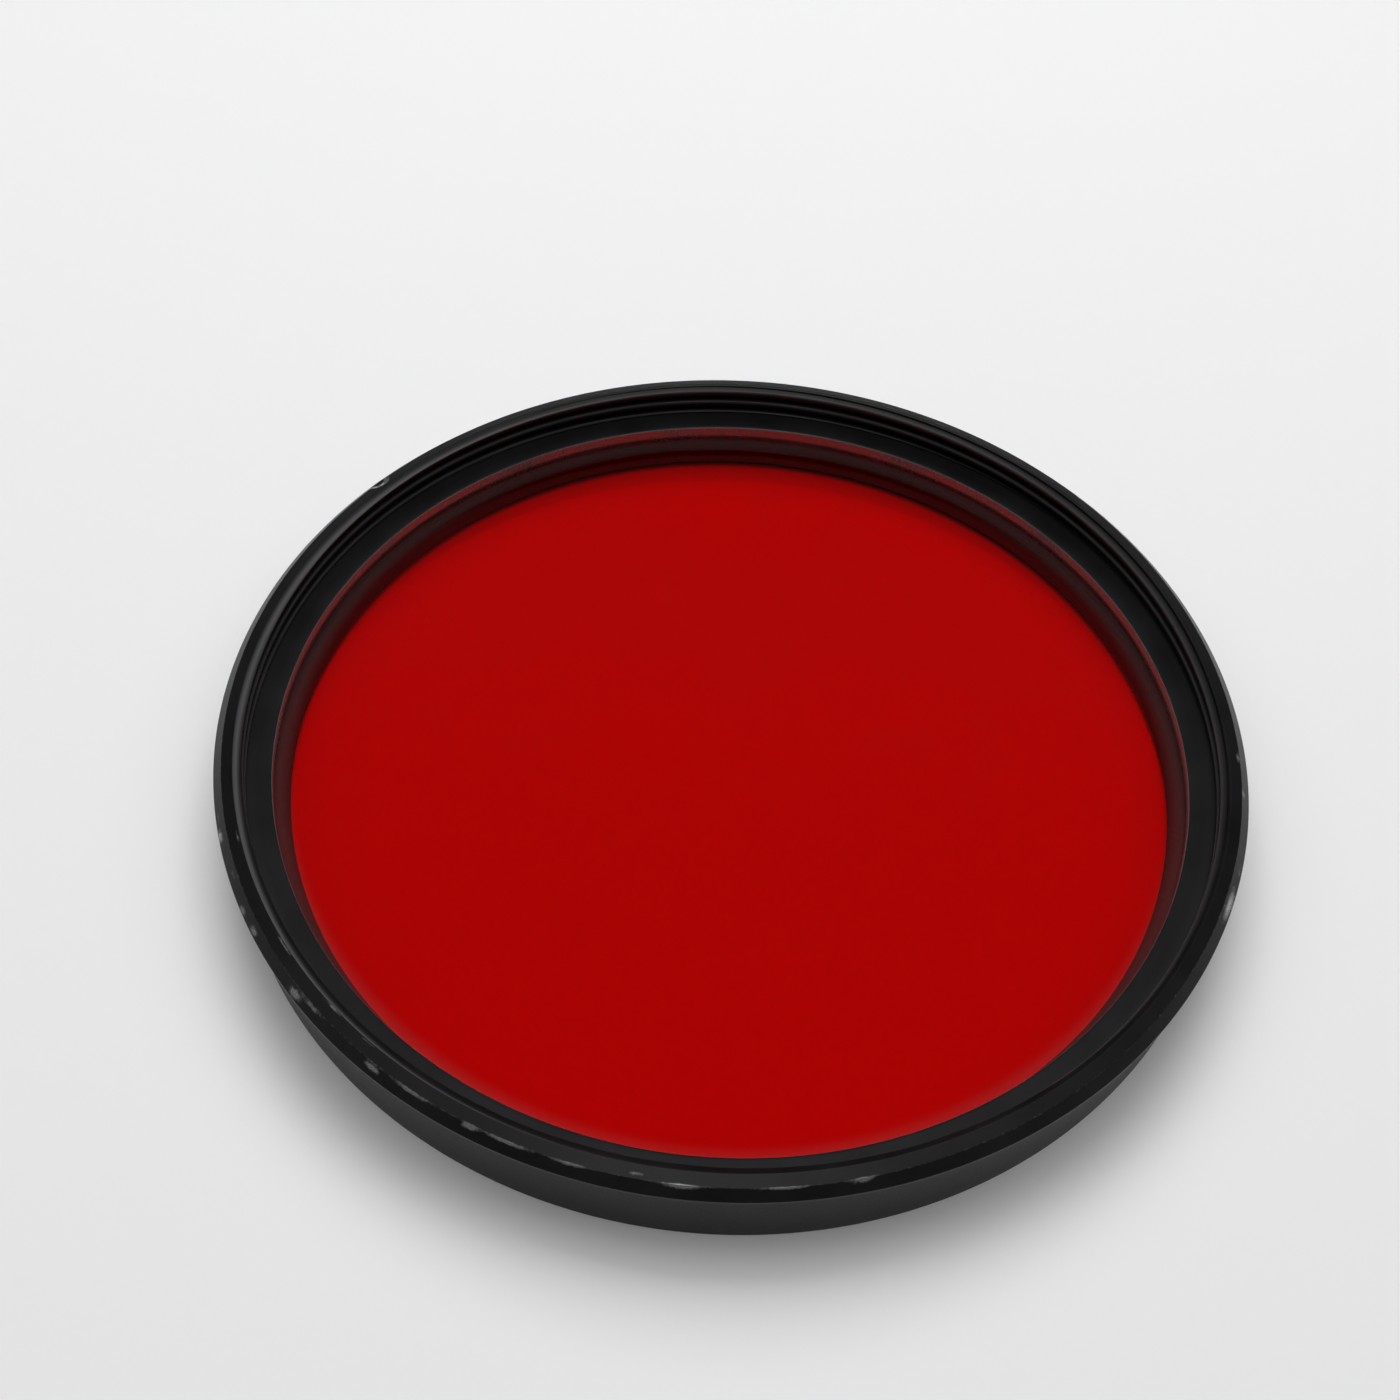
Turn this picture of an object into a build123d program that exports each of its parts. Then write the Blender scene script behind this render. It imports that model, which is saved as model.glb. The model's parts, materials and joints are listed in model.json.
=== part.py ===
from build123d import *
import os
from math import atan2, cos, pi, sin

# A screw-together contrast filter: a turned aluminium ring, a disc of red glass and the
# flat threaded ring that holds the glass down. It stands on its rear face, with the optical
# axis along Z and Z = 0 at that face. All sizes are in millimetres.

# Front accessory thread, M49 x 0.75: its roots lie at the full radius and its crests lie
# CREST_DEPTH_RATIO pitches further in. A flat bevel leads in to it from the mouth
THREAD_DIAMETER = 49.0
THREAD_PITCH = 0.75
CREST_DEPTH_RATIO = 0.5413
LEAD_IN_HEIGHT = 0.2

# Filter ring, outside: the wall is measured outwards from the thread's roots
BARREL_WALL = 0.4
BARREL_HEIGHT = 4.34
BARREL_FOOT_BEVEL = 0.05
FLANGE_OVERHANG = 0.6
FLANGE_EDGE_HEIGHT = 0.18
FLANGE_EDGE_BREAK = 0.06
RIM_BEVEL_WIDTH = 0.43
RIM_BEVEL_HEIGHT = 0.46
LAND_RISE = 0.2
CORNER_ROUND = 0.06

# Filter ring, inside: the shoulder steps in from the thread's roots to the glass pocket,
# and the seat steps in from there to the clear aperture
SHOULDER_WIDTH = 1.15
SHOULDER_BELOW_GLASS_TOP = 0.2
SEAT_WIDTH = 1.15
SEAT_THICKNESS = 0.45
SEAT_EDGE_HEIGHT = 0.1

# Red glass disc
GLASS_THICKNESS = 2.0
GLASS_BEVEL = 0.12
GLASS_SIDE_CLEARANCE = 0.05

# Retaining ring
RETAINER_REACH_OVER_GLASS = 0.45
RETAINER_THICKNESS = 0.9
RETAINER_BEVEL = 0.08
RETAINER_SIDE_CLEARANCE = 0.04
RETAINER_TOP_CLEARANCE = 0.05

# Dent that a knock has left across the rim's outer corner
DENT_AZIMUTH = 142.0
DENT_LENGTH = 1.3
DENT_DEPTH = 0.2

# Radii that follow
root_radius = THREAD_DIAMETER / 2
thread_depth = CREST_DEPTH_RATIO * THREAD_PITCH
crest_radius = root_radius - thread_depth
barrel_radius = root_radius + BARREL_WALL
flange_radius = barrel_radius + FLANGE_OVERHANG
land_outer_radius = flange_radius - RIM_BEVEL_WIDTH
pocket_radius = root_radius - SHOULDER_WIDTH
aperture_radius = pocket_radius - SEAT_WIDTH
glass_radius = pocket_radius - GLASS_SIDE_CLEARANCE
retainer_radius = root_radius - RETAINER_SIDE_CLEARANCE
retainer_bore_radius = glass_radius - RETAINER_REACH_OVER_GLASS

# Heights that follow
flange_top = BARREL_HEIGHT + FLANGE_EDGE_HEIGHT
land_outer_height = flange_top + RIM_BEVEL_HEIGHT
rim_height = land_outer_height + LAND_RISE
glass_bottom = SEAT_THICKNESS
glass_top = glass_bottom + GLASS_THICKNESS
shoulder_height = glass_top - SHOULDER_BELOW_GLASS_TOP
retainer_top = glass_top + RETAINER_THICKNESS
free_thread_start = retainer_top + RETAINER_TOP_CLEARANCE


def turned(corners):
    """Solid of revolution about Z from a closed half section.

    Each corner is (radius, height) or (radius, height, rounding radius).
    """
    points = [(corner[0], 0, corner[1]) for corner in corners]
    rounds = [corner[2] if len(corner) > 2 else 0 for corner in corners]
    outline = FilletPolyline(*points, radius=rounds, close=True)
    return revolve(make_face(outline.edges()), Axis.Z)


def rim_dent():
    """Ball that has struck the corner between the front land and the rim's bevel.

    It comes in along the line that halves the corner, and its radius follows from the
    dent's length and depth.
    """
    land_slope = atan2(LAND_RISE, land_outer_radius - root_radius)
    bevel_slope = atan2(RIM_BEVEL_HEIGHT, RIM_BEVEL_WIDTH)
    tilt = pi / 2 - (land_slope + bevel_slope) / 2
    ball_radius = (DENT_LENGTH ** 2 / 4 + DENT_DEPTH ** 2) / (2 * DENT_DEPTH)
    reach = ball_radius - DENT_DEPTH
    centre = (land_outer_radius + reach * cos(tilt), 0, land_outer_height + reach * sin(tilt))
    return Rot(0, 0, DENT_AZIMUTH) * Pos(*centre) * Sphere(ball_radius)


def filter_ring():
    """Barrel, flange, front thread, glass seat and thin rear lip, turned in one piece.

    The free thread is drawn at its crests. Beside the retaining ring, whose own thread
    fills it, it is drawn at its roots.
    """
    lip_bevel = SEAT_THICKNESS - SEAT_EDGE_HEIGHT
    ring = turned([
        (aperture_radius, SEAT_THICKNESS),
        (aperture_radius, SEAT_THICKNESS - SEAT_EDGE_HEIGHT),
        (aperture_radius + lip_bevel, 0),
        (barrel_radius - BARREL_FOOT_BEVEL, 0),
        (barrel_radius, BARREL_FOOT_BEVEL),
        (barrel_radius, BARREL_HEIGHT),
        (flange_radius - FLANGE_EDGE_BREAK, BARREL_HEIGHT),
        (flange_radius, BARREL_HEIGHT + FLANGE_EDGE_BREAK),
        (flange_radius, flange_top),
        (land_outer_radius, land_outer_height, CORNER_ROUND),
        (root_radius, rim_height, CORNER_ROUND),
        (crest_radius, rim_height - LEAD_IN_HEIGHT),
        (crest_radius, free_thread_start),
        (root_radius, free_thread_start),
        (root_radius, shoulder_height),
        (pocket_radius, shoulder_height),
        (pocket_radius, SEAT_THICKNESS),
    ])
    return ring - rim_dent()


def red_glass():
    """Flat disc of solid red glass with its two edges bevelled, resting on the seat."""
    return turned([
        (0, glass_bottom),
        (glass_radius - GLASS_BEVEL, glass_bottom),
        (glass_radius, glass_bottom + GLASS_BEVEL),
        (glass_radius, glass_top - GLASS_BEVEL),
        (glass_radius - GLASS_BEVEL, glass_top),
        (0, glass_top),
    ])


def retaining_ring():
    """Flat ring screwed down on the glass, drawn at its thread's crests."""
    return turned([
        (retainer_bore_radius, glass_top),
        (retainer_radius, glass_top),
        (retainer_radius, retainer_top - RETAINER_BEVEL),
        (retainer_radius - RETAINER_BEVEL, retainer_top),
        (retainer_bore_radius + RETAINER_BEVEL, retainer_top),
        (retainer_bore_radius, retainer_top - RETAINER_BEVEL),
    ])


os.makedirs("parts", exist_ok=True)
for piece in (filter_ring, red_glass, retaining_ring):
    export_step(piece(), f"parts/{piece.__name__}.step")
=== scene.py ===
import json

import bpy
import numpy as np
from mathutils import Matrix, Vector


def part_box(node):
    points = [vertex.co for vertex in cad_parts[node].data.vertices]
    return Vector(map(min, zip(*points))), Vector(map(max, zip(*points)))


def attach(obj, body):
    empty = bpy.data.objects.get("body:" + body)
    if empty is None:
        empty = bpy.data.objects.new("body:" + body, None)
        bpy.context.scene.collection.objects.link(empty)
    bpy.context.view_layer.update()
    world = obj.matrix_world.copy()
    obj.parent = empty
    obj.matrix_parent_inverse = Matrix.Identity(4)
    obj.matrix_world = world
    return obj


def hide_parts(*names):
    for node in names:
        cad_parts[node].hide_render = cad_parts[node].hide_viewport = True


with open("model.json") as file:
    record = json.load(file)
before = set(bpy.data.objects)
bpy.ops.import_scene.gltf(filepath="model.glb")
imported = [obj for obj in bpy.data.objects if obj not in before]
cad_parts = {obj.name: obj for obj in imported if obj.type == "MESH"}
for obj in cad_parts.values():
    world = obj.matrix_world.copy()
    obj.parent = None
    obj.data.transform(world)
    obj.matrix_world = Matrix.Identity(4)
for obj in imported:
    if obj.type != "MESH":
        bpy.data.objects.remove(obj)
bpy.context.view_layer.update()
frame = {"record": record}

# Filter ring. One piece of aluminium, turned all over: barrel, flange and sloping front land
# outside, accessory thread, glass pocket and thin rear lip inside. Black anodised after the
# thread was cut, and since then knocked and rubbed to bare metal along the land's outer corner,
# with pale dust in the thread. The pale colour along the upper edge of the thread's crests is
# also a painted highlight where they catch the light, and the pocket and seat are painted pale
# as painted light that lifts them out of the retaining ring's shade.

MM = 0.001
FULL_TURN = 2 * np.pi

THREAD_PITCH = 0.75 * MM
THREAD_DEPTH = 0.5413 * THREAD_PITCH
THREAD_CREST_FLAT = 0.40
THREAD_ROOT_FLAT = 0.26
THREAD_ROOT_CLEARANCE = 0.05 * MM
THREAD_ROUNDING = 0.3
FIRST_CREST_DROP = 0.373 * MM
FIRST_CREST_AZIMUTH = np.radians(90)
LEAD_IN_HEIGHT = 0.2 * MM

BARREL_HEIGHT = 4.34 * MM
FOOT_BEVEL = 0.05 * MM
FLANGE_EDGE_HEIGHT = 0.18 * MM
FLANGE_EDGE_BREAK = 0.06 * MM
RIM_BEVEL_WIDTH = 0.43 * MM
RIM_BEVEL_HEIGHT = 0.46 * MM
LAND_RISE = 0.2 * MM
CORNER_ROUND = 0.06 * MM
SMALL_ROUND = 0.02 * MM
SHOULDER_WIDTH = 1.15 * MM
SHOULDER_BELOW_GLASS_TOP = 0.2 * MM
SEAT_WIDTH = 1.15 * MM
SEAT_EDGE_HEIGHT = 0.1 * MM
RETAINER_TOP_CLEARANCE = 0.05 * MM

FINE_STEP = 0.028 * MM
MIDDLE_STEP = 0.06 * MM
COARSE_STEP = 0.8 * MM
ARC_STEPS = 5
RING_COLUMNS = 600

DENT_AZIMUTH = np.radians(142)
DENT_LENGTH = 1.3 * MM
DENT_DEPTH = 0.2 * MM
DENT_SPREAD = np.radians(2.2)
DENT_CROWDING = 14.0
CROWDING_STEPS = 20001

mounts = {mount["name"]: mount for mount in frame["record"]["mounts"]}
crest_radius = mounts["front_thread"]["dims"]["r_mm"] * MM
barrel_radius = mounts["barrel"]["dims"]["r_mm"] * MM
flange_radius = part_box("filter_ring")[1][0]
glass_low, glass_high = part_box("red_glass")
retainer_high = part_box("retaining_ring")[1]
root_radius = crest_radius + THREAD_DEPTH
pocket_radius = root_radius - SHOULDER_WIDTH
aperture_radius = pocket_radius - SEAT_WIDTH
land_outer_radius = flange_radius - RIM_BEVEL_WIDTH
glass_bottom, glass_top = glass_low[2], glass_high[2]
retainer_top = retainer_high[2]
free_thread_start = retainer_top + RETAINER_TOP_CLEARANCE
flange_top = BARREL_HEIGHT + FLANGE_EDGE_HEIGHT
land_outer_height = flange_top + RIM_BEVEL_HEIGHT
rim_height = land_outer_height + LAND_RISE


def half_section(corners):
    """Closed half section as two arrays, radius and height, from its corners.

    Each corner is (radius, height, rounding, longest step on the run to the next corner).
    A rounded corner is an arc that touches both runs: it starts rounding / tan(half the
    corner's angle) before the corner, and its centre lies on the line that halves the angle.
    """
    places = np.array([corner[:2] for corner in corners])
    starts, pieces = [], []
    for here, before, after, corner in zip(
        places, np.roll(places, 1, axis=0), np.roll(places, -1, axis=0), corners
    ):
        back = (before - here) / np.linalg.norm(before - here)
        ahead = (after - here) / np.linalg.norm(after - here)
        half = np.arccos(np.clip(back @ ahead, -1, 1)) / 2
        start = here + back * corner[2] / np.tan(half)
        middle = (back + ahead) / np.linalg.norm(back + ahead)
        centre = here + middle * corner[2] / np.sin(half)
        turn = (np.pi - 2 * half) * np.sign(ahead[0] * back[1] - ahead[1] * back[0])
        angle = np.linspace(0, turn, ARC_STEPS + 1)[:, None] if corner[2] else np.zeros((1, 1))
        spoke = start - centre
        across = np.array([-spoke[1], spoke[0]])
        starts.append(start)
        pieces.append(centre + spoke * np.cos(angle) + across * np.sin(angle))
    rows = []
    for arc, after, corner in zip(pieces, starts[1:] + starts[:1], corners):
        run = after - arc[-1]
        count = max(int(np.ceil(np.linalg.norm(run) / corner[3])), 1)
        share = np.arange(1, count)[:, None] / count
        rows += [arc, arc[-1] + run * share]
    section = np.concatenate(rows)
    return section[:, 0], section[:, 1]


def crowded_columns(count):
    """Azimuths of the ring's columns, closer together round the dent.

    The columns lie at equal shares of the running sum of 1 plus a bell curve at the dent.
    """
    fine = np.linspace(0, FULL_TURN, CROWDING_STEPS)
    away = (fine - DENT_AZIMUTH) / DENT_SPREAD
    crowd = np.cumsum(1 + DENT_CROWDING * np.exp(-away ** 2))
    crowd = (crowd - crowd[0]) / (crowd[-1] - crowd[0])
    return np.interp(np.arange(count) / count, crowd, fine)


def thread_climb(height, azimuth):
    """Height above the first crest in pitches, less the share of a turn made since it."""
    first_crest = rim_height - FIRST_CREST_DROP
    return (height - first_crest) / THREAD_PITCH - (azimuth - FIRST_CREST_AZIMUTH) / FULL_TURN


def thread_radius(height, azimuth):
    """Radius of the thread's wall: a ridge that winds up one pitch in each turn.

    The distance from the nearest crest, in pitches, runs through a flat at the crest, a
    sloping flank and a flat at the root. A sine taken off the flank rounds both its ends.
    """
    climb = thread_climb(height, azimuth)
    away = np.abs(climb - np.round(climb))
    flank = 0.5 - THREAD_CREST_FLAT / 2 - THREAD_ROOT_FLAT / 2
    along = np.clip((away - THREAD_CREST_FLAT / 2) / flank, 0, 1)
    rise = along - THREAD_ROUNDING * np.sin(FULL_TURN * along) / FULL_TURN
    return crest_radius + (THREAD_DEPTH - THREAD_ROOT_CLEARANCE) * rise


def pressed_in(points, contact, push, length, depth):
    """Points after a ball has been pushed into them at contact, against the direction push.

    The ball's radius follows from the dent's length and depth. A point inside the ball slides
    along push until it lies on the ball.
    """
    ball = (length ** 2 / 4 + depth ** 2) / (2 * depth)
    away = points - (contact + push * (ball - depth))
    along = away @ push
    inside = ball ** 2 - (away ** 2).sum(axis=-1)
    slide = np.where(inside > 0, along + np.sqrt(np.maximum(along ** 2 + inside, 0)), 0)
    return points - slide[..., None] * push


def turned_grid(radius, height, azimuth):
    """Points of a surface of revolution, one row for each point of the half section."""
    radius, azimuth = np.broadcast_arrays(radius, azimuth)
    x = radius * np.cos(azimuth)
    y = radius * np.sin(azimuth)
    return np.stack([x, y, np.broadcast_to(height, x.shape)], axis=-1)


def closed_grid(name, points):
    """Mesh object from a grid of points that closes on itself both ways.

    Row i and column j make a four-sided face with the next row and the next column.
    """
    rows, columns = points.shape[:2]
    index = np.arange(rows * columns).reshape(rows, columns)
    right = np.roll(index, -1, axis=1)
    faces = np.stack(
        [index, right, np.roll(right, -1, axis=0), np.roll(index, -1, axis=0)], axis=-1
    )
    return mesh_object(name, points.reshape(-1, 3), faces.reshape(-1, 4))


def mesh_object(name, points, faces):
    """Smooth-shaded mesh object at the origin from an array of points and one of faces."""
    mesh = bpy.data.meshes.new(name)
    mesh.from_pydata(points.tolist(), [], faces.tolist())
    mesh.polygons.foreach_set("use_smooth", np.ones(len(mesh.polygons), dtype=bool))
    mesh.update()
    piece = bpy.data.objects.new(name, mesh)
    bpy.context.scene.collection.objects.link(piece)
    return piece


def ring_section():
    """Half section of the filter ring, from the aperture's edge round by the outside."""
    lip_bevel = glass_bottom - SEAT_EDGE_HEIGHT
    return half_section([
        (aperture_radius, glass_bottom, 0, COARSE_STEP),
        (aperture_radius, glass_bottom - SEAT_EDGE_HEIGHT, 0, COARSE_STEP),
        (aperture_radius + lip_bevel, 0, 0, COARSE_STEP),
        (barrel_radius - FOOT_BEVEL, 0, SMALL_ROUND, COARSE_STEP),
        (barrel_radius, FOOT_BEVEL, SMALL_ROUND, COARSE_STEP),
        (barrel_radius, BARREL_HEIGHT, 0, COARSE_STEP),
        (flange_radius - FLANGE_EDGE_BREAK, BARREL_HEIGHT, 0, COARSE_STEP),
        (flange_radius, BARREL_HEIGHT + FLANGE_EDGE_BREAK, SMALL_ROUND, COARSE_STEP),
        (flange_radius, flange_top, SMALL_ROUND, MIDDLE_STEP),
        (land_outer_radius, land_outer_height, CORNER_ROUND, MIDDLE_STEP),
        (root_radius, rim_height, CORNER_ROUND, FINE_STEP),
        (crest_radius, rim_height - LEAD_IN_HEIGHT, 0, FINE_STEP),
        (crest_radius, free_thread_start, 0, COARSE_STEP),
        (root_radius, free_thread_start, 0, COARSE_STEP),
        (root_radius, glass_top - SHOULDER_BELOW_GLASS_TOP, 0, COARSE_STEP),
        (pocket_radius, glass_top - SHOULDER_BELOW_GLASS_TOP, 0, COARSE_STEP),
        (pocket_radius, glass_bottom, 0, COARSE_STEP),
    ])


radius, height = ring_section()
radius, height = radius[:, None], height[:, None]
azimuth = crowded_columns(RING_COLUMNS)[None, :]
on_thread = (radius <= root_radius) & (height >= free_thread_start) & (radius >= crest_radius)
on_thread = on_thread & (height < rim_height - CORNER_ROUND)
wall = np.where(on_thread, np.maximum(radius, thread_radius(height, azimuth)), radius)
ring_points = turned_grid(wall, height, azimuth)

land_slope = np.arctan2(LAND_RISE, land_outer_radius - root_radius)
bevel_slope = np.arctan2(RIM_BEVEL_HEIGHT, RIM_BEVEL_WIDTH)
corner_tilt = np.pi / 2 - (land_slope + bevel_slope) / 2


def corner_push(azimuth):
    """Unit vector outwards along the line that halves the land's outer corner."""
    flat = np.cos(corner_tilt)
    return np.array([flat * np.cos(azimuth), flat * np.sin(azimuth), np.sin(corner_tilt)])


def corner_place(azimuth):
    """Point at the land's outer corner."""
    return np.array([
        land_outer_radius * np.cos(azimuth), land_outer_radius * np.sin(azimuth), land_outer_height
    ])


ring_points = pressed_in(
    ring_points, corner_place(DENT_AZIMUTH), corner_push(DENT_AZIMUTH), DENT_LENGTH, DENT_DEPTH
)
filter_ring = closed_grid("filter_ring_turned", ring_points)

# Rubbed spots along the rim: clockwise angle from +X seen from above and its half length, both
# in degrees, place outwards from the land's outer corner and half width, both in mm, and
# strength
RUBBED = [
    (76, 1.0, 0.05, 0.10, 0.9),
    (83.5, 1.8, 0.02, 0.05, 0.8),
    (93.5, 1.5, 0.03, 0.08, 1.1),
    (98, 0.7, -0.2, 0.07, 0.8),
    (104.5, 1.5, 0.03, 0.06, 0.8),
    (111, 2.0, 0.04, 0.06, 0.9),
    (115, 0.8, 0.08, 0.09, 1.2),
    (122, 2.0, 0.05, 0.06, 0.9),
    (127, 1.0, 0.15, 0.10, 1.1),
    (136.5, 1.5, 0.08, 0.07, 0.8),
    (139, 0.9, 0.25, 0.14, 1.2),
    (148, 0.8, 0.30, 0.12, 1.0),
    (151, 0.7, 0.34, 0.11, 1.0),
    (155.5, 0.7, 0.2, 0.08, 0.6),
    (161, 0.9, 0.34, 0.12, 1.2),
    (163.5, 0.6, 0.3, 0.08, 0.6),
    (350, 1.0, 0.1, 0.08, 0.5),
    (2, 0.8, -0.1, 0.08, 0.8),
    (7, 0.7, 0.1, 0.09, 0.9),
    (17, 0.9, 0.3, 0.08, 0.6),
    (22, 2.2, 0.25, 0.14, 1.3),
    (129, 0.9, -0.5, 0.05, 0.7),
    (134.5, 1.4, -0.52, 0.05, 0.9),
    (144, 1.8, -0.5, 0.05, 0.8),
    (159.5, 0.9, -0.45, 0.05, 0.8),
    (217.2, 0.35, 0.1, 0.10, 1.2),
    (218.2, 0.4, -0.02, 0.12, 1.2),
    (219.1, 0.3, 0.12, 0.09, 1.1),
]
FAINT_RUB = 0.3
FAINT_RUB_WIDTH = 0.045 * MM


def rubbed_share(radius, height, azimuth):
    """How far the black has been rubbed off, as an array: 0 untouched, 1 and more bare.

    Each spot is a bell curve along the rim times one across it. A faint narrow one runs
    along the whole of the land's outer corner. Only the rim above the flange's edge has them.
    """
    outwards = radius - land_outer_radius
    share = FAINT_RUB * np.exp(-(outwards / FAINT_RUB_WIDTH) ** 2) * np.ones_like(azimuth)
    for angle, half_length, place, half_width, strength in RUBBED:
        along = np.degrees(azimuth) + angle
        along = (along + 180) % 360 - 180
        spot = np.exp(-(along / half_length) ** 2)
        share = share + strength * spot * np.exp(-((outwards - place * MM) / (half_width * MM)) ** 2)
    return np.where((height > flange_top) & (radius > crest_radius + THREAD_DEPTH / 2), share, 0)


# Pale colour along the upper edge of the thread's crests: dust, and also a painted highlight where the
# crests catch the light.
THREAD_DUST_AND_HIGHLIGHT = 0.26
THREAD_DUST_AND_HIGHLIGHT_PLACE = 0.13
THREAD_DUST_AND_HIGHLIGHT_WIDTH = 0.09
# Pale grey evenly in the pocket and on the seat: painted light that lifts them out of the retaining
# ring's shade.
POCKET_PAINTED_LIGHT = 0.45


def dust_and_painted_light_share(radius, height, azimuth):
    """How much of the black a pale colour hides, as an array: 0 none, 1 all.

    It lies in a bell curve along the upper edge of the thread's crests, as dust and as a painted
    highlight where the crests catch the light, and evenly in the pocket and on the seat as
    painted light that lifts them out of the retaining ring's shade.
    """
    above = thread_climb(height, azimuth)
    above = above - np.round(above)
    on_crest = np.exp(-((above - THREAD_DUST_AND_HIGHLIGHT_PLACE) / THREAD_DUST_AND_HIGHLIGHT_WIDTH) ** 2)
    inside = (radius < root_radius) & (height > free_thread_start)
    share = np.where(inside, THREAD_DUST_AND_HIGHLIGHT * on_crest, 0)
    # In the pocket and on the seat the pale share is painted light.
    in_pocket = (height < glass_top) & (height >= glass_bottom) & (radius <= pocket_radius)
    return np.where(in_pocket, POCKET_PAINTED_LIGHT, share)


def set_share(piece, name, values):
    """Stores one number for each vertex of the piece, for its material to read."""
    layer = piece.data.attributes.new(name, "FLOAT", "POINT")
    layer.data.foreach_set("value", np.asarray(values, dtype=np.float32).ravel())


set_share(filter_ring, "rubbed", rubbed_share(radius, height, azimuth))
set_share(filter_ring, "dust_and_painted_light", dust_and_painted_light_share(wall, height, azimuth))


def link(tree, source, target):
    """Joins an output socket to an input socket."""
    tree.links.new(source, target)


def from_axis(tree):
    """The piece's own X, Y and Z, and the distance from the turning axis."""
    place = tree.nodes.new("ShaderNodeTexCoord")
    parts = tree.nodes.new("ShaderNodeSeparateXYZ")
    link(tree, place.outputs["Object"], parts.inputs[0])
    flat = tree.nodes.new("ShaderNodeCombineXYZ")
    link(tree, parts.outputs["X"], flat.inputs["X"])
    link(tree, parts.outputs["Y"], flat.inputs["Y"])
    length = tree.nodes.new("ShaderNodeVectorMath")
    length.operation = "LENGTH"
    link(tree, flat.outputs[0], length.inputs[0])
    return parts, length.outputs["Value"]


def lathe_lines(tree, rings_per_mm, along):
    """Noise that is drawn out round the axis, as a turning tool leaves it.

    The noise is read at the distance from the axis, the height and a short share of the
    angle, so that it changes fast across the cut and slowly along it.
    """
    parts, distance = from_axis(tree)
    angle = tree.nodes.new("ShaderNodeMath")
    angle.operation = "ARCTAN2"
    link(tree, parts.outputs["Y"], angle.inputs[0])
    link(tree, parts.outputs["X"], angle.inputs[1])
    turn = tree.nodes.new("ShaderNodeMath")
    turn.operation = "MULTIPLY"
    turn.inputs[1].default_value = along
    link(tree, angle.outputs[0], turn.inputs[0])
    unrolled = tree.nodes.new("ShaderNodeCombineXYZ")
    link(tree, distance, unrolled.inputs["X"])
    link(tree, turn.outputs[0], unrolled.inputs["Y"])
    link(tree, parts.outputs["Z"], unrolled.inputs["Z"])
    return noise_at(tree, unrolled.outputs[0], rings_per_mm, detail=3)


def noise_at(tree, place, per_mm, detail):
    """Noise read at a place, with about per_mm patches to a millimetre."""
    noise = tree.nodes.new("ShaderNodeTexNoise")
    noise.inputs["Scale"].default_value = per_mm / MM
    noise.inputs["Detail"].default_value = detail
    link(tree, place, noise.inputs["Vector"])
    return noise.outputs["Fac"]


def grain(tree, per_mm, detail):
    """Even noise over the piece, in its own coordinates."""
    place = tree.nodes.new("ShaderNodeTexCoord")
    return noise_at(tree, place.outputs["Object"], per_mm, detail)


def between(tree, value, low, high, out_low, out_high, smooth=False):
    """Value carried from the range low to high over to out_low to out_high, and held there."""
    scale = tree.nodes.new("ShaderNodeMapRange")
    scale.interpolation_type = "SMOOTHSTEP" if smooth else "LINEAR"
    scale.inputs["From Min"].default_value = low
    scale.inputs["From Max"].default_value = high
    scale.inputs["To Min"].default_value = out_low
    scale.inputs["To Max"].default_value = out_high
    link(tree, value, scale.inputs["Value"])
    return scale.outputs["Result"]


def mixed_colour(tree, share, first, second):
    """Colour between first and second; either is a colour or a socket."""
    mix = tree.nodes.new("ShaderNodeMix")
    mix.data_type = "RGBA"
    link(tree, share, mix.inputs["Factor"])
    for side, colour in (("A", first), ("B", second)):
        socket = [s for s in mix.inputs if s.name == side and s.type == "RGBA"][0]
        if isinstance(colour, tuple):
            socket.default_value = (*colour, 1)
        else:
            link(tree, colour, socket)
    return [s for s in mix.outputs if s.type == "RGBA"][0]


BLACK_DEEP = (0.0028, 0.0026, 0.0032)
BLACK_GREY = (0.0058, 0.0055, 0.0065)
BARE_ALUMINIUM = (0.50, 0.50, 0.50)
DUST_AND_PAINTED_LIGHT_COLOUR = (0.30, 0.29, 0.30)
BLACK_GLOSS = 0.33
BLACK_ROUGHNESS = (0.32, 0.44)
BARE_ROUGHNESS = 0.16
FINE_GRAINS_PER_MM = 14
BROAD_GRAINS_PER_MM = 0.35
RAGGED_GRAINS_PER_MM = 5
RAGGEDNESS = 0.9
NOISE_MIDDLE = (0.35, 0.65)
NOISE_SPAN = (0.3, 0.7)
RUBBED_SPAN = (0.2, 1.4)
MOST_BARE = 0.8
TOOL_LINES_PER_MM = 16
TOOL_LINE_ALONG = 0.004
TOOL_LINE_STRENGTH = 0.25
TOOL_LINE_DEPTH = 0.01 * MM


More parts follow.
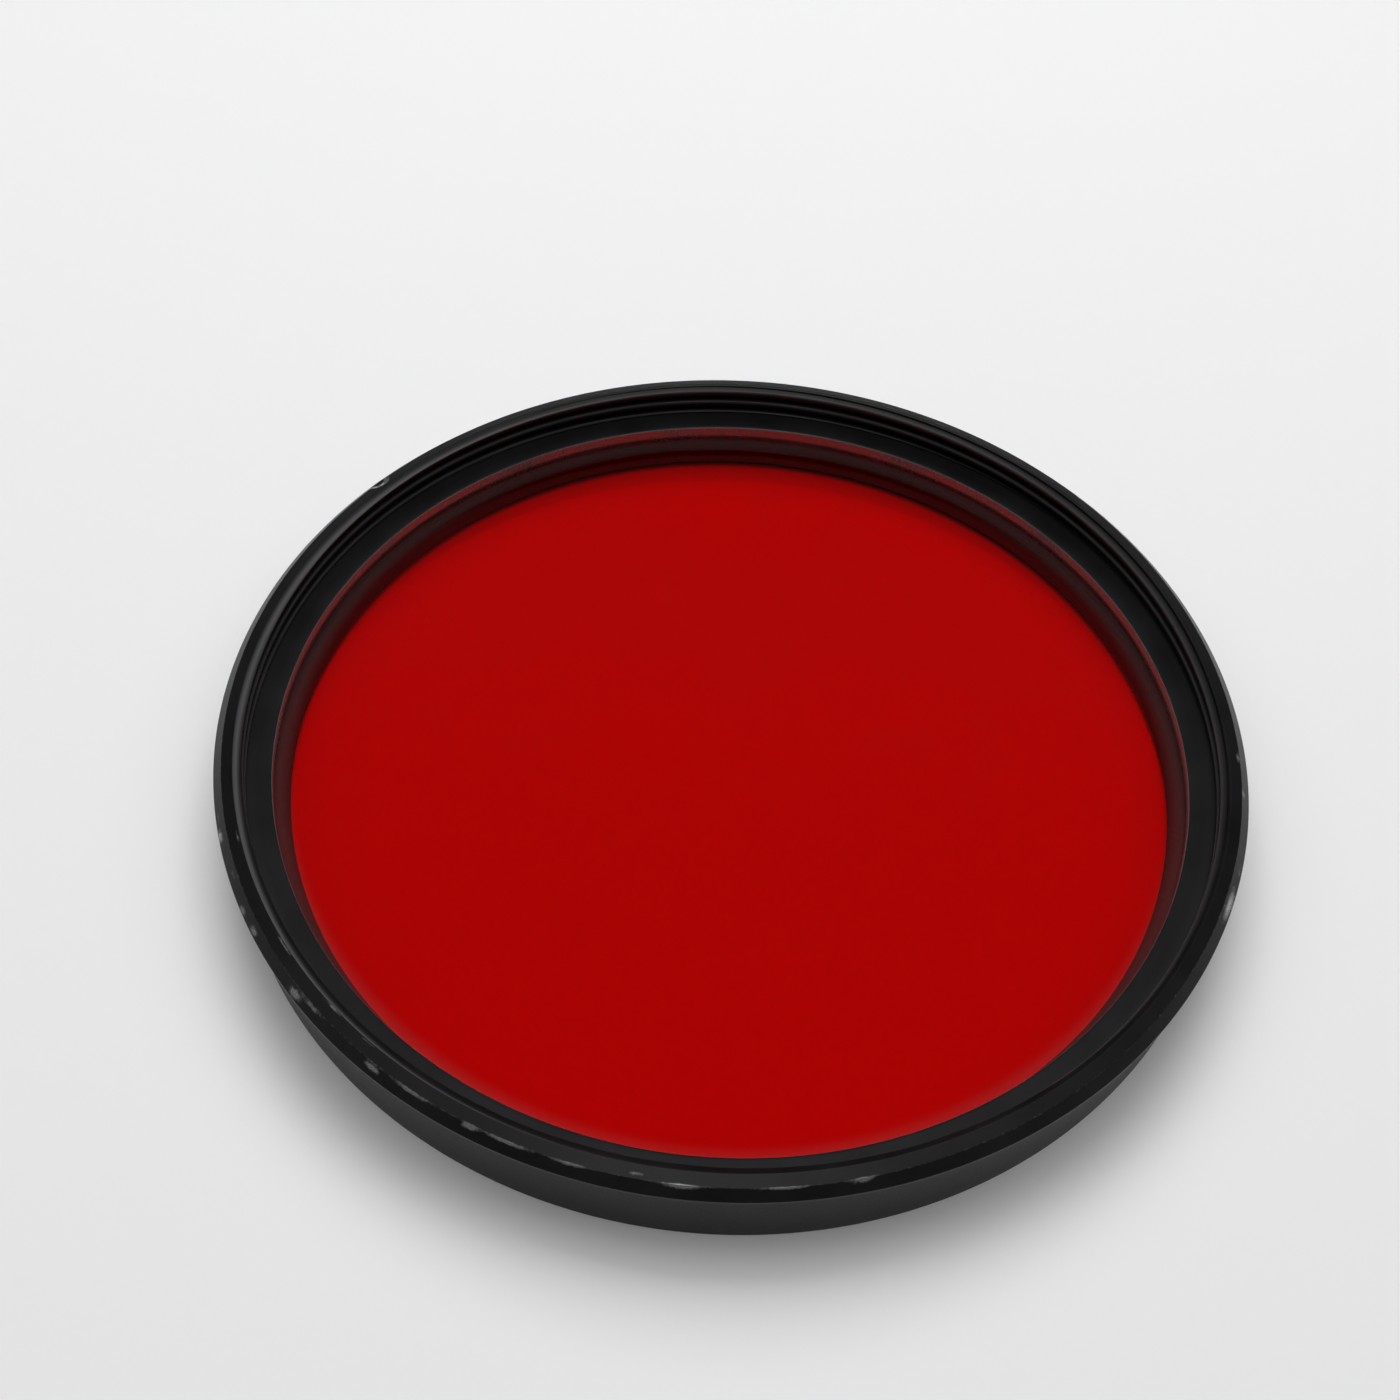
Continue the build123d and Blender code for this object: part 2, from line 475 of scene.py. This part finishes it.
def black_anodised():
    """Satin black over turned aluminium, with the bare metal where it has been rubbed off.

    The share that is bare is the piece's own rubbed share with noise added, so its edge is
    ragged, carried over smoothly to 0 to MOST_BARE. The pale share lays pale dust on it, and also
    paints a highlight along the thread's crests and painted light in the pocket and on the seat.
    """
    material = bpy.data.materials.new("black_anodised_rubbed")
    material.use_nodes = True
    tree = material.node_tree
    shader = tree.nodes["Principled BSDF"]
    shader.inputs["Specular IOR Level"].default_value = BLACK_GLOSS
    fine = grain(tree, FINE_GRAINS_PER_MM, detail=4)
    broad = grain(tree, BROAD_GRAINS_PER_MM, detail=3)
    lines = lathe_lines(tree, TOOL_LINES_PER_MM, TOOL_LINE_ALONG)
    black = mixed_colour(tree, between(tree, broad, *NOISE_MIDDLE, 0, 1), BLACK_DEEP, BLACK_GREY)
    dull = between(tree, fine, *NOISE_SPAN, *BLACK_ROUGHNESS)
    # Pale colour: dust, a painted highlight on the thread's crests and painted light in the pocket and
    # on the seat.
    dust_and_painted_light_layer = tree.nodes.new("ShaderNodeAttribute")
    dust_and_painted_light_layer.attribute_name = "dust_and_painted_light"
    black = mixed_colour(tree, dust_and_painted_light_layer.outputs["Fac"], black, DUST_AND_PAINTED_LIGHT_COLOUR)
    layer = tree.nodes.new("ShaderNodeAttribute")
    layer.attribute_name = "rubbed"
    ragged = tree.nodes.new("ShaderNodeMath")
    ragged.operation = "MULTIPLY_ADD"
    ragged.inputs[1].default_value = RAGGEDNESS
    ragged.inputs[2].default_value = -RAGGEDNESS / 2
    link(tree, grain(tree, RAGGED_GRAINS_PER_MM, detail=3), ragged.inputs[0])
    total = tree.nodes.new("ShaderNodeMath")
    total.operation = "ADD"
    link(tree, layer.outputs["Fac"], total.inputs[0])
    link(tree, ragged.outputs[0], total.inputs[1])
    bare = between(tree, total.outputs[0], *RUBBED_SPAN, 0, MOST_BARE, smooth=True)
    black = mixed_colour(tree, bare, black, BARE_ALUMINIUM)
    polish = tree.nodes.new("ShaderNodeMix")
    link(tree, bare, polish.inputs["Factor"])
    link(tree, dull, polish.inputs["A"])
    polish.inputs["B"].default_value = BARE_ROUGHNESS
    link(tree, bare, shader.inputs["Metallic"])
    link(tree, black, shader.inputs["Base Color"])
    link(tree, polish.outputs["Result"], shader.inputs["Roughness"])
    bump = tree.nodes.new("ShaderNodeBump")
    bump.inputs["Strength"].default_value = TOOL_LINE_STRENGTH
    bump.inputs["Distance"].default_value = TOOL_LINE_DEPTH
    link(tree, lines, bump.inputs["Height"])
    link(tree, bump.outputs[0], shader.inputs["Normal"])
    return material


filter_ring.data.materials.append(black_anodised())
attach(filter_ring, "root")
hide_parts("filter_ring")

# Red glass. A flat disc of optical glass, dyed red right through and polished on both sides,
# with a small ground bevel on each edge. It lies on the seat in the ring's pocket.

GLASS_BEVEL = 0.12 * MM
GLASS_IOR = 1.52
GLASS_COLUMNS = 360
GLASS_GLANCE = (0.5, 0.05, 0.06)
RETAINER_REACH_OVER_GLASS = 0.45 * MM
HAZE_WIDTH = 1.1 * MM
HAZE_CLEAR_SHARE = 0.982
SMEARS_PER_MM = 0.25
SMEAR_SPAN = (0.5, 0.75)
SMEAR_ROUGHNESS = 0.03
RED_PASSED = (0.70, 0.0006, 0.003)
glass_radius = glass_high[0]
glass_thickness = glass_top - glass_bottom
hazy_radius = glass_radius - RETAINER_REACH_OVER_GLASS


def disc(name, corners, columns):
    """Closed turned solid whose half section starts and ends on the axis.

    The rows between the first and the last corner are joined in four-sided faces, and the two
    ends are each one round face.
    """
    places = np.array(corners)
    azimuth = np.arange(columns)[None, :] * FULL_TURN / columns
    points = turned_grid(places[:, :1], places[:, 1:], azimuth)
    rows = len(places)
    index = np.arange(rows * columns).reshape(rows, columns)
    right = np.roll(index, -1, axis=1)
    sides = np.stack([index[:-1], right[:-1], right[1:], index[1:]], axis=-1).reshape(-1, 4)
    mesh = bpy.data.meshes.new(name)
    caps = [index[0][::-1].tolist(), index[-1].tolist()]
    mesh.from_pydata(points.reshape(-1, 3).tolist(), [], sides.tolist() + caps)
    mesh.update()
    piece = bpy.data.objects.new(name, mesh)
    bpy.context.scene.collection.objects.link(piece)
    return piece


red_glass = disc("red_glass_disc", [
    (glass_radius - GLASS_BEVEL, glass_bottom),
    (glass_radius, glass_bottom + GLASS_BEVEL),
    (glass_radius, glass_top - GLASS_BEVEL),
    (glass_radius - GLASS_BEVEL, glass_top),
], GLASS_COLUMNS)


def dyed_glass():
    """Clear polished surface over a body that takes up all but the red.

    The share of each colour that one thickness passes is exp(-density * (1 - colour) *
    thickness). Rays from lamps and diffuse rays go through unbent, so they light what is below.
    Towards the retaining ring, where a cloth doesn't reach, a film of dust dulls it.
    """
    material = bpy.data.materials.new("dyed_red_glass")
    material.use_nodes = True
    tree = material.node_tree
    shader = tree.nodes["Principled BSDF"]
    shader.inputs["Base Color"].default_value = (1, 1, 1, 1)
    distance = from_axis(tree)[1]
    clear_share = between(
        tree, distance, hazy_radius - HAZE_WIDTH, hazy_radius, 1, HAZE_CLEAR_SHARE, smooth=True
    )
    link(tree, clear_share, shader.inputs["Transmission Weight"])
    shader.inputs["IOR"].default_value = GLASS_IOR
    shader.inputs["Specular Tint"].default_value = (*GLASS_GLANCE, 1)
    smears = between(tree, grain(tree, SMEARS_PER_MM, detail=4), *SMEAR_SPAN, 0, SMEAR_ROUGHNESS)
    link(tree, smears, shader.inputs["Roughness"])
    taken = -np.log(np.array(RED_PASSED)) / glass_thickness
    body = tree.nodes.new("ShaderNodeVolumeAbsorption")
    body.inputs["Density"].default_value = taken.max()
    body.inputs["Color"].default_value = (*(1 - taken / taken.max()), 1)
    output = tree.nodes["Material Output"]
    link(tree, body.outputs[0], output.inputs["Volume"])
    surface = shader.outputs[0]
    path = tree.nodes.new("ShaderNodeLightPath")
    clear = tree.nodes.new("ShaderNodeBsdfTransparent")
    for ray in ("Is Diffuse Ray", "Is Shadow Ray"):
        mix = tree.nodes.new("ShaderNodeMixShader")
        link(tree, path.outputs[ray], mix.inputs[0])
        link(tree, surface, mix.inputs[1])
        link(tree, clear.outputs[0], mix.inputs[2])
        surface = mix.outputs[0]
    link(tree, surface, output.inputs["Surface"])
    return material


red_glass.data.materials.append(dyed_glass())
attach(red_glass, "root")
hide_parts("red_glass")

# Retaining ring. A flat turned ring with its own thread round the outside, screwed down on
# the glass until it is tight. Black anodised aluminium like the filter ring, and
# rubbed bright in its bore.

RETAINER_BEVEL = 0.08 * MM
RETAINER_WIDTH = 1.61 * MM
RETAINER_COLUMNS = 480
retainer_radius = retainer_high[0]
retainer_bore_radius = retainer_radius - RETAINER_WIDTH

radius, height = half_section([
    (retainer_bore_radius, glass_top, 0, COARSE_STEP),
    (retainer_radius, glass_top, 0, COARSE_STEP),
    (retainer_radius, retainer_top, RETAINER_BEVEL, 2 * MIDDLE_STEP),
    (retainer_bore_radius, retainer_top, RETAINER_BEVEL, COARSE_STEP),
])
azimuth = np.arange(RETAINER_COLUMNS)[None, :] * FULL_TURN / RETAINER_COLUMNS
retaining_ring = closed_grid(
    "retaining_ring_turned", turned_grid(radius[:, None], height[:, None], azimuth)
)
BORE_RUB = 1.2
BORE_RUB_WAVES = ((5, 0.10, 0.4), (13, 0.15, 1.9), (31, 0.10, 0.7))
CORNER_DUST = 0.05
CORNER_DUST_WIDTH = 0.9 * MM


def bore_share(radius, azimuth):
    """How bare the bore is: a share that rises and falls round it as a sum of sines."""
    waves = sum(
        size * np.sin(times * azimuth + start) for times, size, start in BORE_RUB_WAVES
    )
    in_bore = radius < retainer_bore_radius + RETAINER_BEVEL / 4
    return np.where(in_bore, BORE_RUB + waves, 0 * waves)


def corner_dust(radius, height, azimuth):
    """Dust on the ring's face: it rises evenly outwards to the corner by the thread."""
    share = np.clip(1 - (retainer_radius - radius) / CORNER_DUST_WIDTH, 0, 1) * CORNER_DUST
    return np.where(height > glass_top, share, 0) * np.ones_like(azimuth)


set_share(retaining_ring, "rubbed", bore_share(radius[:, None], azimuth))
set_share(retaining_ring, "dust_and_painted_light", corner_dust(radius[:, None], height[:, None], azimuth))
retaining_ring.data.materials.append(filter_ring.data.materials[0])
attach(retaining_ring, "root")
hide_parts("retaining_ring")

# Camera. It looks down on the ring from the near side, close by and turned a little.

IMAGE_PIXELS = 1400
FOCAL_PIXELS = 2000
SENSOR_WIDTH = 36.0
CAMERA_ELEVATION = np.radians(50.70)
CAMERA_ROLL = np.radians(-2.76)
CAMERA_DISTANCE = 3.916 * flange_radius
AIM_PIXEL = (733.1, 727.9)
AIM_POINT = Vector((0, 0, BARREL_HEIGHT))

forward = Vector((0, np.cos(CAMERA_ELEVATION), -np.sin(CAMERA_ELEVATION)))
level = Vector((1, 0, 0))
down = forward.cross(level)
right = level * np.cos(CAMERA_ROLL) + down * np.sin(CAMERA_ROLL)
down = down * np.cos(CAMERA_ROLL) - level * np.sin(CAMERA_ROLL)
aside = (AIM_PIXEL[0] - IMAGE_PIXELS / 2) / FOCAL_PIXELS
below = (AIM_PIXEL[1] - IMAGE_PIXELS / 2) / FOCAL_PIXELS
stand = AIM_POINT - CAMERA_DISTANCE * (right * aside + down * below + forward)
camera_data = bpy.data.cameras.new("camera")
camera_data.sensor_width = SENSOR_WIDTH
camera_data.lens = FOCAL_PIXELS / IMAGE_PIXELS * SENSOR_WIDTH
camera_data.clip_start = 2 * MM
camera = bpy.data.objects.new("camera", camera_data)
turned = Matrix((right, -down, -forward)).transposed().to_4x4()
camera.matrix_world = Matrix.Translation(stand) @ turned
bpy.context.scene.collection.objects.link(camera)
bpy.context.scene.camera = camera

# Floor and lamps. A white sheet that curves up all round like a wide shallow bowl, grey further
# out as painted shade of a dim room, soft lamps above it and a dim sky. The sky's two pairs are
# the sine of an elevation and the strength there.

FLOOR_COLOUR = (0.93, 0.93, 0.93)
# Grey of the sheet far out: painted shade of a dim room.
FLOOR_FAR_PAINTED_SHADE = (0.28, 0.28, 0.29)
FLOOR_WHITE_RADIUS = 300 * MM
FLOOR_DROP = 0.02 * MM
FLOOR_FLAT_RADIUS = 500 * MM
FLOOR_BEND = 400 * MM
FLOOR_RISE_ANGLE = np.radians(75)
FLOOR_COLUMNS = 96
FLOOR_ROWS = 24
SKY = (0.97, 0.97, 1.0)
SKY_DARK = (0.60, 0.05)
SKY_BRIGHT = (0.95, 0.50)

bend = np.linspace(0, FLOOR_RISE_ANGLE, FLOOR_ROWS)[:, None]
azimuth = np.arange(FLOOR_COLUMNS)[None, :] * FULL_TURN / FLOOR_COLUMNS
sheet_points = turned_grid(
    FLOOR_FLAT_RADIUS + FLOOR_BEND * np.sin(bend),
    FLOOR_BEND * (1 - np.cos(bend)) - FLOOR_DROP,
    azimuth,
)
index = np.arange(FLOOR_ROWS * FLOOR_COLUMNS).reshape(FLOOR_ROWS, FLOOR_COLUMNS)
beside = np.roll(index, -1, axis=1)
strips = np.stack([index[1:], beside[1:], beside[:-1], index[:-1]], axis=-1).reshape(-1, 4)
floor_mesh = bpy.data.meshes.new("floor")
floor_mesh.from_pydata(
    sheet_points.reshape(-1, 3).tolist(), [], strips.tolist() + [index[0].tolist()]
)
floor_mesh.polygons.foreach_set("use_smooth", np.ones(len(floor_mesh.polygons), dtype=bool))
floor = bpy.data.objects.new("floor", floor_mesh)
bpy.context.scene.collection.objects.link(floor)
white_sheet = bpy.data.materials.new("white_sheet")
white_sheet.use_nodes = True
sheet_shader = white_sheet.node_tree.nodes["Principled BSDF"]
tree = white_sheet.node_tree
place = tree.nodes.new("ShaderNodeTexCoord")
from_middle = tree.nodes.new("ShaderNodeVectorMath")
from_middle.operation = "LENGTH"
link(tree, place.outputs["Object"], from_middle.inputs[0])
# Painted shade: past FLOOR_WHITE_RADIUS the sheet turns grey, for the dim room beyond the lamps.
outer = between(tree, from_middle.outputs["Value"], FLOOR_WHITE_RADIUS, 2 * FLOOR_WHITE_RADIUS, 0, 1)
link(tree, mixed_colour(tree, outer, FLOOR_COLOUR, FLOOR_FAR_PAINTED_SHADE), sheet_shader.inputs["Base Color"])
sheet_shader.inputs["Roughness"].default_value = 1
sheet_shader.inputs["Specular IOR Level"].default_value = 0
floor.data.materials.append(white_sheet)


def soft_lamp(name, azimuth, elevation, distance, size, share):
    """Square lamp aimed at the ring that gives a level surface share of a full light.

    Full light makes a white surface render white. Turned to the floor at an elevation, a
    square lamp of radiance L gives about L * size ** 2 * sin(elevation) / distance ** 2, and
    full light is pi. A lamp's power is pi * size ** 2 * L. The angles are in degrees, and
    azimuth 0 is the far side.
    """
    azimuth = np.radians(azimuth)
    elevation = np.radians(elevation)
    towards = Vector((
        np.cos(elevation) * np.sin(azimuth), np.cos(elevation) * np.cos(azimuth), np.sin(elevation)
    ))
    lamp_data = bpy.data.lights.new(name, "AREA")
    lamp_data.shape = "SQUARE"
    lamp_data.size = size
    lamp_data.energy = share * np.pi ** 2 * distance ** 2 / np.sin(elevation)
    lamp = bpy.data.objects.new(name, lamp_data)
    lamp.matrix_world = (
        Matrix.Translation(towards * distance) @ towards.to_track_quat("Z", "Y").to_matrix().to_4x4()
    )
    bpy.context.scene.collection.objects.link(lamp)
    return lamp


soft_lamp("lamp_over", azimuth=0, elevation=83, distance=0.9, size=0.36, share=0.08)
soft_lamp("lamp_near", azimuth=180, elevation=68, distance=0.9, size=0.36, share=0.06)
unmirrored = [
    soft_lamp("lamp_far", azimuth=0, elevation=60, distance=0.3, size=0.2, share=0.4),
    soft_lamp("lamp_left", azimuth=-80, elevation=55, distance=0.9, size=0.6, share=0.1),
    soft_lamp("lamp_right", azimuth=80, elevation=55, distance=0.9, size=0.6, share=0.1),
]
for lamp in unmirrored:
    lamp.visible_glossy = False

world = bpy.data.worlds.new("soft_sky")
world.use_nodes = True
tree = world.node_tree
background = tree.nodes["Background"]
background.inputs["Color"].default_value = (*SKY, 1)
direction = tree.nodes.new("ShaderNodeTexCoord")
sky_parts = tree.nodes.new("ShaderNodeSeparateXYZ")
link(tree, direction.outputs["Generated"], sky_parts.inputs[0])
strength = between(
    tree, sky_parts.outputs["Z"], SKY_DARK[0], SKY_BRIGHT[0], SKY_DARK[1], SKY_BRIGHT[1],
    smooth=True,
)
link(tree, strength, background.inputs["Strength"])
bpy.context.scene.world = world
bpy.context.scene.view_settings.view_transform = "Standard"
